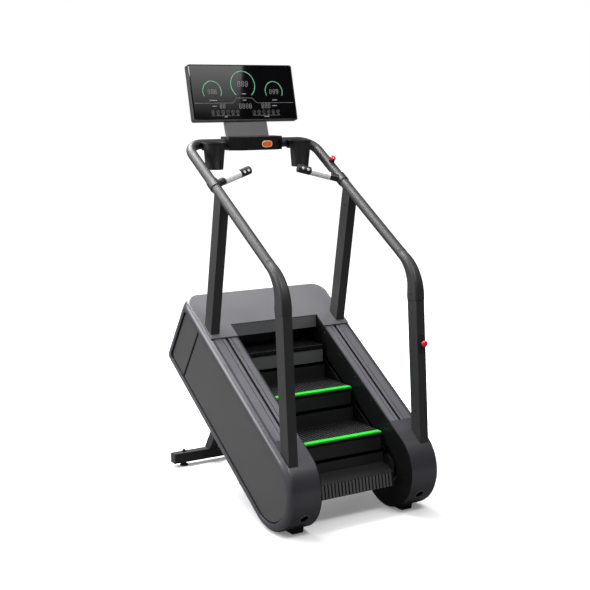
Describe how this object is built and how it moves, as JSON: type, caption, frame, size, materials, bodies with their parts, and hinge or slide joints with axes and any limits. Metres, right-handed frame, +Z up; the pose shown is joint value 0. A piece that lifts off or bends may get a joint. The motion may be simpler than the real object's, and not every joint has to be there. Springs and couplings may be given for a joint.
{
  "type": "stair climber",
  "caption": "Motor-braked stair climbing machine: moving grooved steps between slanted housings, bent handrail on posts, cup holders and a wide display",
  "frame": {"origin": "on the floor, under the middle of the machine", "axes": "+Z up, +Y up the stairs and away from the climber, +X to the climber's right"},
  "size_m": [0.876, 1.408, 2.2164],
  "materials": {
    "body": "satin charcoal paint",
    "trim": "satin moulded plastic",
    "panel": "matt dark grey paint",
    "tube": "fine textured black powder coat",
    "frame": "black powder coat",
    "tread": "ribbed black tread",
    "nosing": "green edge strip",
    "rubber": "black rubber",
    "steel": "machined steel",
    "cast": "turned cast iron",
    "chrome": "bright plate",
    "black": "black plastic",
    "gloss": "gloss black plastic",
    "glass": "tinted display glass",
    "bracket": "mid grey paint",
    "red": "red plastic",
    "orange": "orange plastic"
  },
  "bodies": {
    "machine": {"bearings": "steel", "belly_pan": "panel", "brake_magnet": "black", "chains": "steel", "console_bracket": "bracket", "console_glass": "glass", "console_shell": "trim", "control_box": "gloss", "cross_tubes": "frame", "crossbar": "tube", "cup_holder_left": "black", "cup_holder_right": "black", "drive_belt": "rubber", "drive_controller": "black", "elbow_left": "tube", "elbow_right": "tube", "emergency_bases": "black", "fasteners": "steel", "floor_bar_caps": "black", "frame_rail_left": "frame", "frame_rail_right": "frame", "front_feet": "rubber", "front_post_left": "tube", "front_post_right": "tube", "grip_arms": "black", "grip_ends": "black", "grip_plates": "chrome", "handrail_left": "tube", "handrail_right": "tube", "hood": "body", "housing_shell_left": "body", "housing_shell_right": "body", "inner_wall_left": "panel", "inner_wall_right": "panel", "levelling_feet": "rubber", "rear_panel": "panel", "rear_post_left": "tube", "rear_post_right": "tube", "rear_stand": "tube", "rib_strips": "body", "side_cover_left": "body", "side_cover_right": "body", "side_panels": "panel"},
    "stair_run": {"step_1": "tread", "step_2": "tread", "step_3": "tread", "step_axles": "steel", "nosing_strips": "nosing"},
    "lower_roll": {"lower_shaft": "steel", "turning_step": "tread"},
    "return_run": {"returning_steps": "tread"},
    "upper_roll": {"upper_shaft": "steel"},
    "flywheel_rotor": {"flywheel": "cast"},
    "stop_press": {"stop_button": "orange"},
    "rail_stop_press": {"emergency_knob_rail": "red"},
    "post_stop_press": {"emergency_knob_post": "red"},
    "grip_press_1_left": {"grip_button_1_left": "steel"},
    "grip_press_1_right": {"grip_button_1_right": "steel"},
    "grip_press_2_left": {"grip_button_2_left": "steel"},
    "grip_press_2_right": {"grip_button_2_right": "steel"}
  },
  "joints": [
    {"name": "stair_travel", "type": "slide", "parent": "machine", "child": "stair_run", "axis": [0, -0.8387, -0.5446], "range_m": [0, 0.05]},
    {"name": "lower_roll_turn", "type": "hinge", "parent": "machine", "child": "lower_roll", "pos_m": [0, -0.499, 0.212], "axis": [1, 0, 0], "range_deg": [0, 38.25]},
    {"name": "return_travel", "type": "slide", "parent": "machine", "child": "return_run", "axis": [0, 0.8387, 0.5446], "range_m": [0, 0.05]},
    {"name": "upper_roll_turn", "type": "hinge", "parent": "machine", "child": "upper_roll", "pos_m": [0, 0.3816, 0.78387], "axis": [1, 0, 0], "range_deg": [0, 38.25]},
    {"name": "flywheel_spin", "type": "hinge", "parent": "machine", "child": "flywheel_rotor", "pos_m": [0.33, 0.02686, 0.57734], "axis": [1, 0, 0], "range_deg": [0, 142.47]},
    {"name": "stop_button_press", "type": "slide", "parent": "machine", "child": "stop_press", "axis": [0, 1, 0], "range_m": [0, 0.003], "stiffness_N_per_m": 900, "springref_m": -0.0005},
    {"name": "rail_knob_press", "type": "slide", "parent": "machine", "child": "rail_stop_press", "axis": [0, 0.5299, -0.848], "range_m": [0, 0.005], "stiffness_N_per_m": 1200, "springref_m": -0.001},
    {"name": "post_knob_press", "type": "slide", "parent": "machine", "child": "post_stop_press", "axis": [0, 0.9971, -0.0758], "range_m": [0, 0.005], "stiffness_N_per_m": 1200, "springref_m": -0.001},
    {"name": "grip_button_1_left_press", "type": "slide", "parent": "machine", "child": "grip_press_1_left", "axis": [0, 0.9701, -0.2425], "range_m": [0, 0.0015], "stiffness_N_per_m": 600, "springref_m": -0.0005},
    {"name": "grip_button_1_right_press", "type": "slide", "parent": "machine", "child": "grip_press_1_right", "axis": [0, 0.9701, -0.2425], "range_m": [0, 0.0015], "stiffness_N_per_m": 600, "springref_m": -0.0005},
    {"name": "grip_button_2_left_press", "type": "slide", "parent": "machine", "child": "grip_press_2_left", "axis": [0, 0.9701, -0.2425], "range_m": [0, 0.0015], "stiffness_N_per_m": 600, "springref_m": -0.0005},
    {"name": "grip_button_2_right_press", "type": "slide", "parent": "machine", "child": "grip_press_2_right", "axis": [0, 0.9701, -0.2425], "range_m": [0, 0.0015], "stiffness_N_per_m": 600, "springref_m": -0.0005}
  ],
  "couplings": [
    {"joint": "lower_roll_turn", "follows": "stair_travel", "rad_per_m": 13.333},
    {"joint": "return_travel", "follows": "stair_travel", "ratio": 1},
    {"joint": "upper_roll_turn", "follows": "stair_travel", "rad_per_m": 13.333},
    {"joint": "flywheel_spin", "follows": "stair_travel", "rad_per_m": 49.697}
  ]
}
